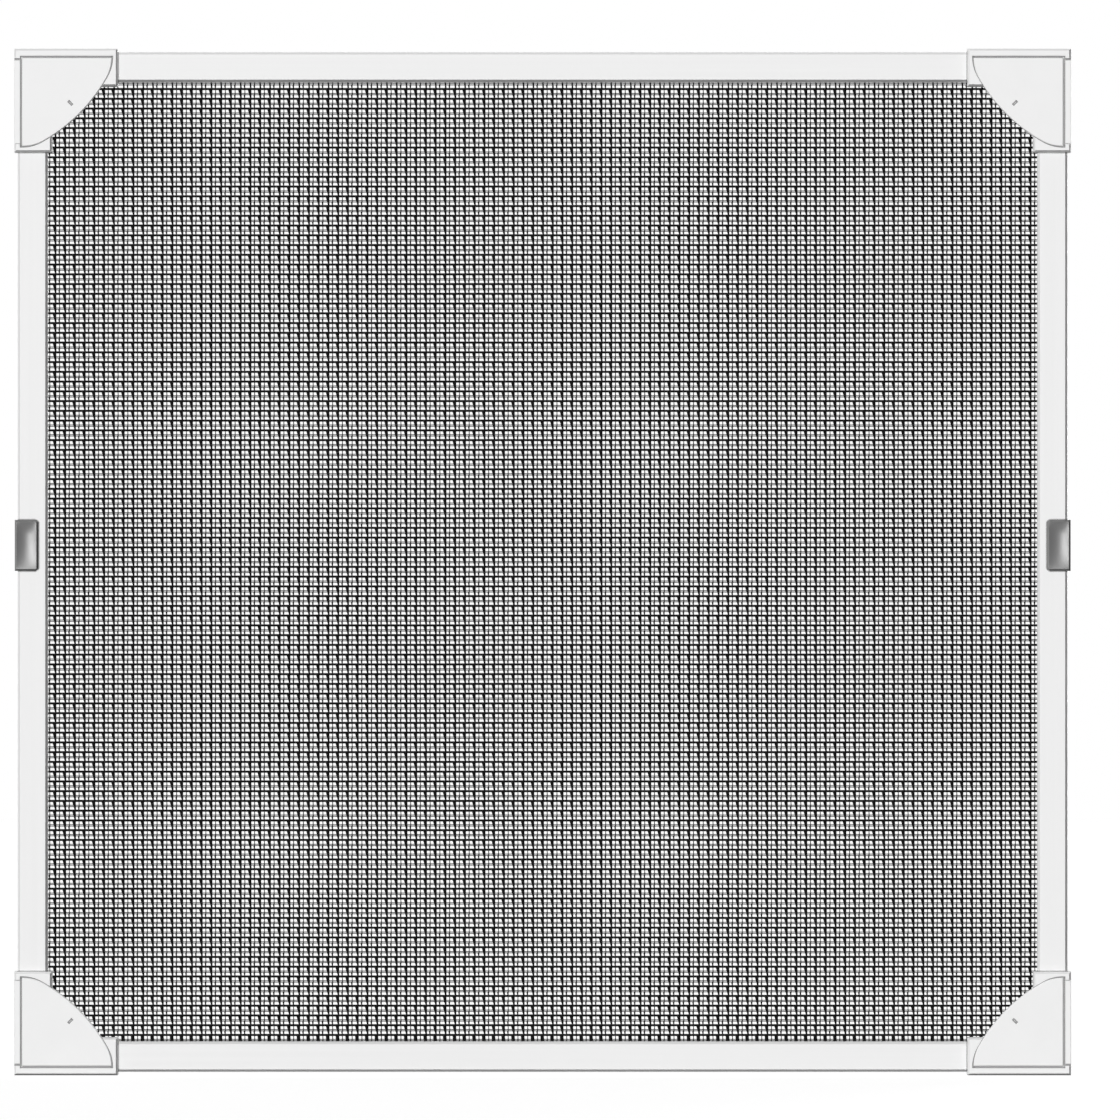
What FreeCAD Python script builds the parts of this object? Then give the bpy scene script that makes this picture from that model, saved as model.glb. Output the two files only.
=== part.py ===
# Window screen frame: four hollow rails sleeved into moulded corner elbows, a woven insect mesh held in the
# rails' back grooves by round retaining cords, fan shaped covers let into the elbows, magnet strips on the back
# and two dished finger pulls clipped over the side rails. Millimetres, front towards -Y, +Z up, origin at the
# centre of the frame.
import FreeCAD, Part
import math
import os
import re
import Sketcher

# Driving sizes: name, value in millimetres, and what it measures
SIZES = [
    ("frame_width", 700.0, "outer width over the elbows"),
    ("frame_height", 680.0, "outer height over the elbows"),
    ("rail_width", 20.0, "front face of a rail"),
    ("rail_depth", 9.0, "front to back of a rail"),
    ("rail_wall", 1.2, "wall of the rail's hollow chamber"),
    ("rail_round", 1.9, "rounding of a rail's two front edges"),
    ("lip_width", 1.4, "inner wall of the retaining groove"),
    ("lip_drop", 1.2, "how far that wall stops short of the rail's back"),
    ("groove_depth", 4.4, "retaining groove, from the lip to its floor"),
    ("leg_margin", 4.0, "how far each leg runs on past the fan"),
    ("outer_wall", 2.0, "sleeve wall along the outer edge"),
    ("inner_wall", 2.7, "sleeve wall along the inner edge"),
    ("back_wall", 1.9, "sleeve wall behind the rail"),
    ("web_wall", 1.5, "gusset web under a cover, and the sleeve's front wall there"),
    ("skirt_wall", 1.8, "rim that follows the gusset's curved edge towards the mesh"),
    ("elbow_round", 1.4, "rounding of an elbow's front edges"),
    ("sleeve_clearance", 0.1, "between a rail and its sleeve, on each side"),
    ("rail_end_gap", 0.3, "between a rail's end and the elbow's stop"),
    ("lip_setback", 0.6, "from the sleeve's back wall to the groove"),
    ("cover_thickness", 1.5, "fan shaped cover"),
    ("cover_bevel", 0.4, "bevel of a cover's front edge"),
    ("cover_reach", 64.6, "from the elbow's outer edge to the far end of the fan"),
    ("fan_end_radius", 27.0, "the fan's curve towards its two ends"),
    ("cover_overhang", 0.4, "how far a cover stands over its gusset web"),
    ("ledge_level", 4.8, "elbow's ledge along the top or bottom edge"),
    ("ledge_upright", 3.85, "elbow's ledge along the side edge"),
    ("reveal", 1.4, "open line between a cover's straight sides and the ledges"),
    ("reveal_groove", 0.8, "how far that line is cut into the gusset web"),
    ("curve_reveal", 0.9, "open line at the ends of the fan's curve"),
    ("knee_reveal", 0.4, "open line where the fan's curve flattens"),
    ("relief_depth", 0.6, "lowered strip of the side ledge"),
    ("relief_start", 6.4, "from the elbow's level edge to the lowered strip"),
    ("relief_margin", 1.4, "how far the strip ends short of the fan"),
    ("tick_width", 1.3, "short cross groove at the start of that strip"),
    ("peg_diameter", 4.0, "cover's two pegs"),
    ("peg_length", 5.0, "peg below the cover"),
    ("peg_near", 9.8, "peg to the nearer outer edge"),
    ("peg_far", 17.0, "peg to the further outer edge"),
    ("peg_clearance", 0.05, "around a peg in its hole"),
    ("core_wall", 2.2, "walls and cross rib around an elbow's cored back"),
    ("core_depth", 5.0, "cored back of an elbow"),
    ("dimple_across", 37.2, "dimple to the elbow's side edge"),
    ("dimple_down", 36.0, "dimple to the elbow's level edge"),
    ("dimple_length", 4.0, "dimple along the corner's diagonal"),
    ("dimple_width", 1.8, "dimple across that diagonal"),
    ("dimple_depth", 1.0, "dimple below the cover's face"),
    ("strand_pitch", 6.47, "mesh, strand to strand both ways"),
    ("upright_strand", 1.4, "width of the mesh's upright strands"),
    ("level_strand", 1.0, "width of the mesh's level strands"),
    ("strand_height", 0.35, "how far a strand stands out of the mesh's wall"),
    ("mesh_wall", 0.3, "wall that joins the strands"),
    ("mesh_clearance", 0.3, "between the mesh and an elbow"),
    ("hem_thickness", 0.4, "mesh edge tucked into the groove"),
    ("hem_depth", 3.6, "how far the tucked edge goes below the lip"),
    ("spline_diameter", 4.0, "retaining cord"),
    ("spline_clearance", 0.05, "between cord, tucked edge and groove"),
    ("spline_end_gap", 0.5, "from a rail's end to its cord's end"),
    ("magnet_width", 9.0, "magnet strip"),
    ("magnet_inset", 3.0, "magnet strip to the rail's outer edge"),
    ("magnet_end_gap", 1.0, "between a magnet strip and the elbow or pull beside it"),
    ("pull_width", 15.6, "finger pull, across the rail"),
    ("pull_height", 33.8, "finger pull, along the rail"),
    ("pull_rise", 11.0, "pull's centre above the frame's centre"),
    ("pull_plate", 2.6, "pull's front plate"),
    ("pull_wall", 1.7, "pull's wall over the rail's outer edge"),
    ("pull_hook", 1.5, "pull's hook behind the rail"),
    ("pull_hook_reach", 10.0, "hook, from the rail's outer edge"),
    ("pull_corner", 2.0, "rounding of the pull's two inner corners"),
    ("pull_bevel", 0.5, "bevel of the pull's front edges"),
    ("pull_clearance", 0.1, "between pull and rail"),
    ("dish_depth", 1.7, "thumb dish in the pull's face"),
    ("dish_rim", 1.1, "flat rim beside the dish"),
    ("dish_end_round", 9.0, "curved rise at each end of the dish"),
    ("dish_end_drop", 0.2, "how far those rises would run on below the dish's floor"),
]

# Open gaps of the mesh, across and up
GAP_COLUMNS = 12
GAP_ROWS = 10

# Degrees that the fan's curve turns through from one of its ends to the knee where it flattens, and from
# there to its middle
END_TURN = 30
MIDDLE_TURN = 45 - END_TURN

# The most of a cover's thickness that the elbow's front rounding takes up
ROUND_SHARE = 0.93

# Marks a step of a pattern that keeps the pattern's own spacing
SAME_SPACING = -1.0

# Lengths worked out from the driving sizes. Names that end in _x, _y or _z are places on that axis, for the
# left rail and the top left corner where a piece repeats.
FORMULAS = {
    "half_width": "frame_width / 2",
    "half_height": "frame_height / 2",
    "front_wall": "web_wall + cover_thickness",
    "whole_depth": "front_wall + 2 * sleeve_clearance + rail_depth + back_wall",
    "front_y": "-whole_depth / 2",
    "back_y": "whole_depth / 2",
    "web_front_y": "front_y + cover_thickness",
    "sleeve_front_y": "front_y + front_wall",
    "rail_front_y": "sleeve_front_y + sleeve_clearance",
    "rail_back_y": "rail_front_y + rail_depth",
    "sleeve_back_y": "rail_back_y + sleeve_clearance",
    "lip_y": "rail_back_y - lip_drop",
    "mesh_stop_y": "lip_y - mesh_clearance",
    "groove_width": "hem_thickness + spline_diameter + 3 * spline_clearance",
    "groove_edge": "rail_width - lip_width - groove_width",
    "edge_inset": "outer_wall + sleeve_clearance",
    "leg_width": "edge_inset + rail_width + sleeve_clearance + inner_wall",
    "elbow_leg": "cover_reach + leg_margin",
    "front_round": f"min(elbow_round, {ROUND_SHARE} * cover_thickness)",
    "relief_end": "cover_reach - relief_margin",
    "knee_drop": f"fan_end_radius * (1 - cos({END_TURN}))",
    "knee_place": f"ledge_level + reveal + fan_end_radius * sin({END_TURN})",
    "rail_start": "leg_width + rail_end_gap",
    "rail_x": "-half_width + edge_inset",
    "rail_z": "half_height - edge_inset",
    "hem_inset": "edge_inset + rail_width - lip_width - spline_clearance - hem_thickness",
    "mesh_half_width": "half_width - hem_inset",
    "mesh_half_height": "half_height - hem_inset",
    "opening_half_width": "half_width - edge_inset - rail_width",
    "opening_half_height": "half_height - edge_inset - rail_width",
    "mesh_front_y": "lip_y + strand_height",
    "mesh_back_y": "mesh_front_y + mesh_wall",
    "bay_width": f"2 * opening_half_width / {GAP_COLUMNS}",
    "bay_height": f"2 * opening_half_height / {GAP_ROWS}",
    "upright_band": "2 * strand_pitch + upright_strand",
    "level_band": "2 * strand_pitch + level_strand",
    "spline_inset": "hem_inset - spline_clearance - spline_diameter / 2",
    "spline_y": "lip_y - groove_depth + spline_clearance + spline_diameter / 2",
    "magnet_thickness": "back_wall + sleeve_clearance",
    "pull_outer_x": "rail_x - pull_clearance - pull_wall",
    "pull_inner_x": "pull_outer_x + pull_width",
    "pull_front_y": "rail_front_y - pull_clearance - pull_plate",
    "pull_top_z": "pull_rise + pull_height / 2",
    "pull_bottom_z": "pull_rise - pull_height / 2",
    "dish_half_width": "pull_width / 2 - dish_rim",
    "dish_radius": "(dish_half_width ^ 2 + dish_depth ^ 2) / (2 * dish_depth)",
    "dish_axis_y": "pull_front_y + dish_depth - dish_radius",
    "dish_rise_depth": "dish_depth + dish_end_drop",
    "dish_rise_run": "sqrt(2 * dish_end_round * dish_rise_depth - dish_rise_depth ^ 2)",
}

doc = FreeCAD.newDocument("window_screen_frame")
sheet = doc.addObject("Spreadsheet::Sheet", "sizes")
for row, (size_name, size_value, meaning) in enumerate(SIZES, start=1):
    sheet.set(f"A{row}", size_name)
    sheet.set(f"B{row}", str(size_value))
    sheet.set(f"C{row}", meaning)
    sheet.setAlias(f"B{row}", size_name)
doc.recompute()

SIZE_NAMES = {size[0] for size in SIZES}
PARTS = []


def formula(text):
    """Writes out a formula with every named length as cells of the sheet."""

    def expanded(match):
        word = match.group(0)
        if word in FORMULAS:
            return f"({formula(FORMULAS[word])})"
        return f"sizes.{word}" if word in SIZE_NAMES else word

    return re.sub(r"[a-z_]+", expanded, text)


def length(text):
    """A formula's present value."""
    return float(sheet.evalExpression(formula(text)))


def bind(feature, **properties):
    for name, text in properties.items():
        feature.setExpression(name, formula(text))


def keep(label, feature):
    """Names a finished sub-part and lists it for writing."""
    feature.Label = label
    PARTS.append(feature)
    return feature


def new_body(label):
    return keep(label, doc.addObject("PartDesign::Body", label))


def origin_feature(body, role):
    return next(f for f in body.Origin.OriginFeatures if f.Role == role)


# Sketches

# How far along its normal each origin plane's sketch lies, for a place on the model's axis
PLANE_SIGN = {"XY_Plane": "", "YZ_Plane": "", "XZ_Plane": "-"}


def new_sketch(body, name, plane, place="0"):
    """A sketch on one of the body's own planes, moved along that plane's axis to the given place."""
    sketch = body.newObject("Sketcher::SketchObject", name)
    sketch.AttachmentSupport = (origin_feature(body, plane), "")
    sketch.MapMode = "FlatFace"
    sketch.setExpression("AttachmentOffset.Base.z", formula(f"{PLANE_SIGN[plane]}({place})"))
    return sketch


def pin(sketch, geometry, point, across, up):
    """Ties a point of the sketch to its two formulas."""
    for kind, text in (("DistanceX", across), ("DistanceY", up)):
        index = sketch.addConstraint(Sketcher.Constraint(kind, -1, 1, geometry, point, length(text)))
        sketch.setExpression(f"Constraints[{index}]", formula(text))


def arc_between(start, end, radius):
    """The shorter arc from start to end, counter-clockwise."""
    chord = end - start
    towards_centre = FreeCAD.Vector(-chord.y, chord.x, 0).normalize()
    rise = math.sqrt(radius**2 - (chord.Length / 2) ** 2)
    centre = (start + end) / 2 + towards_centre * rise
    angles = [math.atan2(p.y - centre.y, p.x - centre.x) for p in (start, end)]
    return Part.ArcOfCircle(Part.Circle(centre, FreeCAD.Vector(0, 0, 1), radius), *angles)


def outline(sketch, corners):
    """A closed outline. A corner is (across, up), or (across, up, radius) where the side from it to the next
    corner is an arc that bulges outwards."""
    points = [FreeCAD.Vector(length(c[0]), length(c[1]), 0) for c in corners]
    radii = [c[2] if len(c) > 2 else None for c in corners]
    turned = sum(a.x * b.y - b.x * a.y for a, b in zip(points, points[1:] + points[:1]))
    if turned < 0:
        corners, points = corners[::-1], points[::-1]
        radii = radii[-2::-1] + radii[-1:]
    sides = []
    for number, radius in enumerate(radii):
        start, end = points[number], points[(number + 1) % len(points)]
        if radius is None:
            sides.append(sketch.addGeometry(Part.LineSegment(start, end)))
        else:
            sides.append(sketch.addGeometry(arc_between(start, end, length(radius))))
    for side, following in zip(sides, sides[1:] + sides[:1]):
        sketch.addConstraint(Sketcher.Constraint("Coincident", side, 2, following, 1))
    for side, corner, radius in zip(sides, corners, radii):
        pin(sketch, side, 1, corner[0], corner[1])
        if radius is not None:
            index = sketch.addConstraint(Sketcher.Constraint("Radius", side, length(radius)))
            sketch.setExpression(f"Constraints[{index}]", formula(radius))


def rectangle(sketch, left, right, bottom, top):
    outline(sketch, [(left, bottom), (right, bottom), (right, top), (left, top)])


def circle(sketch, across, up, diameter):
    centre = FreeCAD.Vector(length(across), length(up), 0)
    ring = sketch.addGeometry(Part.Circle(centre, FreeCAD.Vector(0, 0, 1), length(diameter) / 2))
    pin(sketch, ring, 3, across, up)
    index = sketch.addConstraint(Sketcher.Constraint("Diameter", ring, length(diameter)))
    sketch.setExpression(f"Constraints[{index}]", formula(diameter))


# Features

def pad(body, sketch, thickness, backwards=False, both_ways=False):
    feature = body.newObject("PartDesign::Pad", sketch.Name + "_pad")
    feature.Profile = sketch
    feature.Reversed = backwards
    feature.SideType = "Symmetric" if both_ways else "One side"
    bind(feature, Length=thickness)
    doc.recompute()
    return feature


def cut_depth_checked(body, feature):
    """Recomputes a cut and stops if it took nothing away."""
    before = feature.BaseFeature.Shape.Volume
    doc.recompute()
    if not feature.Shape.Volume < before - 0.01:
        raise RuntimeError(f"{body.Label}: {feature.Name} cuts nothing")
    return feature


def pocket(body, sketch, depth, backwards=False):
    feature = body.newObject("PartDesign::Pocket", sketch.Name + "_pocket")
    feature.Profile = sketch
    feature.Reversed = backwards
    bind(feature, Length=depth)
    return cut_depth_checked(body, feature)


def pattern(body, original, axis, spacing, count):
    """Repeats a feature along one axis of the body."""
    feature = body.newObject("PartDesign::LinearPattern", original.Name + "_row")
    feature.Originals = [original]
    feature.Direction = (origin_feature(body, axis), [""])
    feature.Mode = "Spacing"
    bind(feature, Offset=spacing, Occurrences=count)
    body.Tip = feature
    return feature


def on_edges(body, kind, name, chosen, **sizes):
    """Puts a fillet or a chamfer on the edges of the body's present shape that the test chooses."""
    base = body.Tip
    names = [f"Edge{n}" for n, edge in enumerate(base.Shape.Edges, start=1) if chosen(edge)]
    if not names:
        raise RuntimeError(f"{body.Label}: no edge for {name}")
    feature = body.newObject(kind, f"{body.Label}_{name}")
    feature.Base = (base, names)
    bind(feature, **sizes)
    doc.recompute()
    return feature


def round_edges(body, name, radius, chosen):
    return on_edges(body, "PartDesign::Fillet", name, chosen, Radius=radius)


def bevel_edges(body, name, size, chosen):
    return on_edges(body, "PartDesign::Chamfer", name, chosen, Size=size)


def lies_at(edge, axis, place):
    """Whether a whole edge lies in the plane at that place on the axis."""
    low, high = getattr(edge.BoundBox, axis + "Min"), getattr(edge.BoundBox, axis + "Max")
    return abs(low - place) < 0.01 and abs(high - place) < 0.01


def mirrored(label, source, normal):
    """The same piece on the other side of the frame."""
    feature = keep(label, doc.addObject("Part::Mirroring", label))
    feature.Source = source
    feature.Normal = normal
    return feature


ACROSS = FreeCAD.Vector(1, 0, 0)
UPRIGHT = FreeCAD.Vector(0, 0, 1)

# Rails

def rail_section(sketch, place):
    """Hollow section with a cord groove open to the back. place gives a sketch point from the distance to the
    rail's outer edge and the place from front to back."""
    wall = [
        ("0", "rail_front_y + rail_round"),
        ("0", "rail_back_y"),
        ("groove_edge", "rail_back_y"),
        ("groove_edge", "lip_y - groove_depth"),
        ("rail_width - lip_width", "lip_y - groove_depth"),
        ("rail_width - lip_width", "lip_y"),
        ("rail_width", "lip_y"),
        ("rail_width", "rail_front_y + rail_round", "rail_round"),
        ("rail_width - rail_round", "rail_front_y"),
        ("rail_round", "rail_front_y", "rail_round"),
    ]
    outline(sketch, [place(*point[:2]) + point[2:] for point in wall])
    chamber = [
        ("rail_wall", "rail_front_y + rail_wall"),
        ("groove_edge - rail_wall", "rail_front_y + rail_wall"),
        ("groove_edge - rail_wall", "rail_back_y - rail_wall"),
        ("rail_wall", "rail_back_y - rail_wall"),
    ]
    outline(sketch, [place(*point) for point in chamber])


def level_rail(label):
    body = new_body(label)
    section = new_sketch(body, label + "_section", "YZ_Plane")
    rail_section(section, lambda inward, depth: (depth, f"rail_z - ({inward})"))
    pad(body, section, "frame_width - 2 * rail_start", both_ways=True)
    return body


def upright_rail(label):
    body = new_body(label)
    section = new_sketch(body, label + "_section", "XY_Plane")
    rail_section(section, lambda inward, depth: (f"rail_x + ({inward})", depth))
    pad(body, section, "frame_height - 2 * rail_start", both_ways=True)
    return body


# Elbows and covers of the top left corner

def from_corner(across, down):
    """A point of the front view, from the outer corner."""
    return f"({across}) - half_width", f"half_height - ({down})"


def fan(sketch, side_inset, level_inset, reach, knee_reach):
    """Quarter fan whose two straight sides run along the elbow's outer edges. Its curve is tight towards both
    ends and flatter between its two knees."""
    knee = f"(({knee_reach}) - knee_drop)"
    middle_radius = f"({knee} - knee_place) / (sqrt(2) * sin({MIDDLE_TURN}))"
    ends = [
        (side_inset, level_inset),
        (reach, level_inset, "fan_end_radius"),
        (knee, "knee_place", middle_radius),
        ("knee_place", knee, "fan_end_radius"),
        (side_inset, reach),
    ]
    outline(sketch, [from_corner(*end[:2]) + end[2:] for end in ends])


def sleeve_section(sketch, place):
    """Room for the rail, open to the back over its groove, with the inner wall cut down to clear the mesh."""
    past = "leg_width + inner_wall"
    back_lip = "edge_inset + groove_edge - lip_setback"
    far_side = "edge_inset + rail_width + sleeve_clearance"
    room = [
        ("outer_wall", "sleeve_front_y"),
        (far_side, "sleeve_front_y"),
        (far_side, "mesh_stop_y"),
        (past, "mesh_stop_y"),
        (past, "back_y + back_wall"),
        (back_lip, "back_y + back_wall"),
        (back_lip, "sleeve_back_y"),
        ("outer_wall", "sleeve_back_y"),
    ]
    outline(sketch, [place(*point) for point in room])


def elbow(label):
    body = new_body(label)
    gusset = new_sketch(body, label + "_gusset", "XZ_Plane", "mesh_stop_y")
    web_reach = "cover_reach - cover_overhang"
    fan(gusset, "ledge_upright", "ledge_level", web_reach, web_reach)
    pad(body, gusset, "mesh_stop_y - web_front_y")
    hollow = new_sketch(body, label + "_hollow", "XZ_Plane", "mesh_stop_y")
    hollow_reach = f"{web_reach} - skirt_wall"
    fan(hollow, "outer_wall", "outer_wall", hollow_reach, hollow_reach)
    pocket(body, hollow, "mesh_stop_y - sleeve_front_y", backwards=True)

    legs = new_sketch(body, label + "_legs", "XZ_Plane", "back_y")
    ends = [
        ("0", "0"),
        ("elbow_leg", "0"),
        ("elbow_leg", "leg_width"),
        ("leg_width", "leg_width"),
        ("leg_width", "elbow_leg"),
        ("0", "elbow_leg"),
    ]
    outline(legs, [from_corner(*end) for end in ends])
    pad(body, legs, "whole_depth")
    front = length("front_y")
    round_edges(body, "front_round", "front_round", lambda edge: lies_at(edge, "Y", front))

    level_room = new_sketch(body, label + "_level_room", "YZ_Plane", "elbow_leg - half_width")
    sleeve_section(level_room, lambda inward, depth: (depth, f"half_height - ({inward})"))
    pocket(body, level_room, "elbow_leg - leg_width")
    upright_room = new_sketch(body, label + "_upright_room", "XY_Plane", "half_height - elbow_leg")
    sleeve_section(upright_room, lambda inward, depth: (f"({inward}) - half_width", depth))
    pocket(body, upright_room, "elbow_leg - leg_width", backwards=True)

    recess = new_sketch(body, label + "_recess", "XZ_Plane", "front_y")
    ends_reach, knees_reach = "cover_reach + curve_reveal", "cover_reach + knee_reveal"
    fan(recess, "ledge_upright", "ledge_level", ends_reach, knees_reach)
    pocket(body, recess, "cover_thickness")
    groove = new_sketch(body, label + "_groove", "XZ_Plane", "web_front_y")
    bends = [
        ("ledge_upright", "ledge_level"),
        ("cover_reach", "ledge_level"),
        ("cover_reach", "ledge_level + reveal"),
        ("ledge_upright + reveal", "ledge_level + reveal"),
        ("ledge_upright + reveal", "cover_reach"),
        ("ledge_upright", "cover_reach"),
    ]
    outline(groove, [from_corner(*bend) for bend in bends])
    pocket(body, groove, "reveal_groove")
    relief = new_sketch(body, label + "_relief", "XZ_Plane", "front_y")
    left, top = from_corner("-outer_wall", "relief_start")
    right, bottom = from_corner("ledge_upright", "relief_end")
    rectangle(relief, left, right, bottom, top)
    pocket(body, relief, "relief_depth")
    tick = new_sketch(body, label + "_tick", "XZ_Plane", "front_y")
    rectangle(tick, left, right, f"{top} - tick_width", top)
    pocket(body, tick, "cover_thickness")

    holes = new_sketch(body, label + "_holes", "XZ_Plane", "web_front_y")
    for place in (("peg_near", "peg_far"), ("peg_far", "peg_near")):
        circle(holes, *from_corner(*place), "peg_diameter + 2 * peg_clearance")
    pocket(body, holes, "peg_length + peg_clearance")

    cores = new_sketch(body, label + "_cores", "XZ_Plane", "back_y")
    spans = [
        ("core_wall", "(leg_width - core_wall) / 2"),
        ("(leg_width + core_wall) / 2", "leg_width - core_wall"),
    ]
    for across in spans:
        for down in spans:
            left, top = from_corner(across[0], down[0])
            right, bottom = from_corner(across[1], down[1])
            rectangle(cores, left, right, bottom, top)
    pocket(body, cores, "core_depth", backwards=True)
    return body


def cover(label):
    body = new_body(label)
    plate = new_sketch(body, label + "_plate", "XZ_Plane", "web_front_y")
    fan(plate, "ledge_upright + reveal", "ledge_level + reveal", "cover_reach", "cover_reach")
    pad(body, plate, "cover_thickness")
    front = length("front_y")
    bevel_edges(body, "front_bevel", "cover_bevel", lambda edge: lies_at(edge, "Y", front))

    pegs = new_sketch(body, label + "_pegs", "XZ_Plane", "web_front_y")
    for place in (("peg_near", "peg_far"), ("peg_far", "peg_near")):
        circle(pegs, *from_corner(*place), "peg_diameter")
    pad(body, pegs, "peg_length", backwards=True)

    dimple = new_sketch(body, label + "_dimple", "XZ_Plane", "front_y")
    along = f"dimple_length / {2 * math.sqrt(2):.6f}"
    aside = f"dimple_width / {2 * math.sqrt(2):.6f}"
    turns = [(1, 1), (1, -1), (-1, -1), (-1, 1)]
    corners = []
    for forward, sideways in turns:
        across = f"dimple_across + {forward} * {along} + {sideways} * {aside}"
        down = f"dimple_down + {forward} * {along} - {sideways} * {aside}"
        corners.append(from_corner(across, down))
    outline(dimple, corners)
    pocket(body, dimple, "dimple_depth")
    return body


# Insect mesh

def insect_mesh(label):
    """One thin wall with a plain grid of gaps, and ridges for the strands on the bands between them: uprights
    in front, levels behind. Its edge is turned into the rails' grooves, and its corners are cut out round the
    elbows."""
    body = new_body(label)
    wall = new_sketch(body, label + "_wall", "XZ_Plane", "mesh_back_y")
    sheet_edges = ["-mesh_half_width", "mesh_half_width", "-mesh_half_height", "mesh_half_height"]
    rectangle(wall, *sheet_edges)
    pad(body, wall, "mesh_wall")
    hem = new_sketch(body, label + "_hem", "XZ_Plane", "mesh_back_y")
    rectangle(hem, *sheet_edges)
    inner_width, inner_height = "(mesh_half_width - hem_thickness)", "(mesh_half_height - hem_thickness)"
    rectangle(hem, f"-{inner_width}", inner_width, f"-{inner_height}", inner_height)
    pad(body, hem, "mesh_back_y - lip_y + hem_depth")

    upright = new_sketch(body, label + "_upright", "XZ_Plane", "mesh_front_y")
    level = new_sketch(body, label + "_level", "XZ_Plane", "mesh_back_y")
    first_band = ["bay_width - opening_half_width", "bay_height - opening_half_height"]
    for strand in (-1, 0, 1):
        across, up = [f"{band} + {strand} * strand_pitch" for band in first_band]
        rectangle(upright, f"{across} - upright_strand / 2", f"{across} + upright_strand / 2", *sheet_edges[2:])
        rectangle(level, *sheet_edges[:2], f"{up} - level_strand / 2", f"{up} + level_strand / 2")
    ridges = pad(body, upright, "strand_height")
    pattern(body, ridges, "X_Axis", "bay_width", str(GAP_COLUMNS - 1))
    ridges = pad(body, level, "strand_height", backwards=True)
    pattern(body, ridges, "Z_Axis", "bay_height", str(GAP_ROWS - 1))
    doc.recompute()

    gap = new_sketch(body, label + "_gap", "XZ_Plane", "mesh_front_y")
    left, right = "upright_band / 2 - opening_half_width", "bay_width - upright_band / 2 - opening_half_width"
    bottom, top = "level_band / 2 - opening_half_height", "bay_height - level_band / 2 - opening_half_height"
    rectangle(gap, left, right, bottom, top)
    first_gap = pocket(body, gap, "mesh_wall")
    gaps = pattern(body, first_gap, "X_Axis", "bay_width", str(GAP_COLUMNS))
    gaps.Direction2 = (origin_feature(body, "Z_Axis"), [""])
    gaps.Mode2 = "Spacing"
    gaps.Occurrences2 = 2
    gaps.Spacings2 = [SAME_SPACING]
    bind(gaps, Offset2="bay_height", Occurrences2=str(GAP_ROWS))
    doc.recompute()

    corners = new_sketch(body, label + "_corners", "XZ_Plane", "mesh_back_y + strand_height")
    reach = "rail_start + mesh_clearance"
    for side in ("-", ""):
        for level in ("-", ""):
            across = [f"{side}half_width", f"{side}(half_width - ({reach}))"]
            up = [f"{level}half_height", f"{level}(half_height - ({reach}))"]
            rectangle(corners, *across, *up)
    pocket(body, corners, "mesh_back_y + strand_height - lip_y + hem_depth", backwards=True)
    return body


# Retaining cords and magnet strips

def cord(label, turned, run, x, z):
    """A round cord along its groove: turned is the rotation from upright."""
    feature = keep(label, doc.addObject("Part::Cylinder", label))
    feature.Placement = FreeCAD.Placement(FreeCAD.Vector(), turned)
    bind(feature, Radius="spline_diameter / 2", Height=run)
    for axis, text in (("x", x), ("y", "spline_y"), ("z", z)):
        feature.setExpression(f"Placement.Base.{axis}", formula(text))
    return feature


def magnet(label, left, bottom, across, up):
    """A flat strip on the back of a rail, flush with the elbows."""
    feature = keep(label, doc.addObject("Part::Box", label))
    bind(feature, Length=across, Width="magnet_thickness", Height=up)
    for axis, text in (("x", left), ("y", "rail_back_y"), ("z", bottom)):
        feature.setExpression(f"Placement.Base.{axis}", formula(text))
    return feature


# Finger pulls

def thumb_dish(label):
    """The room over the dish: a trough along the rail, closed by a curved rise at each end."""
    trough = doc.addObject("Part::Cylinder", label + "_trough")
    bind(trough, Radius="dish_radius", Height="pull_height - 2 * dish_rim")
    middle = "(pull_outer_x + pull_inner_x) / 2"
    for axis, text in (("x", middle), ("y", "dish_axis_y"), ("z", "pull_bottom_z + dish_rim")):
        trough.setExpression(f"Placement.Base.{axis}", formula(text))

    block = doc.addObject("PartDesign::Body", label + "_block")
    section = new_sketch(block, label + "_ends", "YZ_Plane", middle)
    floor_y = "pull_front_y + dish_rise_depth"
    low, high = "pull_bottom_z + dish_rim", "pull_top_z - dish_rim"
    corners = [
        ("pull_front_y - dish_depth", low),
        ("pull_front_y", low, "dish_end_round"),
        (floor_y, f"{low} + dish_rise_run"),
        (floor_y, f"{high} - dish_rise_run", "dish_end_round"),
        ("pull_front_y", high),
        ("pull_front_y - dish_depth", high),
    ]
    outline(section, corners)
    pad(block, section, "pull_width", both_ways=True)
    dish = doc.addObject("Part::Common", label + "_dish")
    dish.Base = trough
    dish.Tool = block
    return dish


def finger_pull(label):
    """A clip round the rail's outer edge: dished front plate, edge wall and a hook behind the rail."""
    body = doc.addObject("PartDesign::Body", label + "_clip")
    clip = new_sketch(body, label + "_section", "XY_Plane", "pull_rise")
    plate_back, hook_front = "rail_front_y - pull_clearance", "rail_back_y + pull_clearance"
    edge_wall = "rail_x - pull_clearance"
    section = [
        ("pull_outer_x", "pull_front_y"),
        ("pull_inner_x", "pull_front_y"),
        ("pull_inner_x", plate_back),
        (edge_wall, plate_back),
        (edge_wall, hook_front),
        ("rail_x + pull_hook_reach", hook_front),
        ("rail_x + pull_hook_reach", f"{hook_front} + pull_hook"),
        ("pull_outer_x", f"{hook_front} + pull_hook"),
    ]
    outline(clip, section)
    pad(body, clip, "pull_height", both_ways=True)
    inner, front = length("pull_inner_x"), length("pull_front_y")
    ends = [length("pull_top_z"), length("pull_bottom_z")]
    at_corner = lambda edge: lies_at(edge, "X", inner) and any(lies_at(edge, "Z", end) for end in ends)
    round_edges(body, "corner_round", "pull_corner", at_corner)
    bevel_edges(body, "front_bevel", "pull_bevel", lambda edge: lies_at(edge, "Y", front))
    pull = keep(label, doc.addObject("Part::Cut", label))
    pull.Base = body
    pull.Tool = thumb_dish(label)
    return pull


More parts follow.
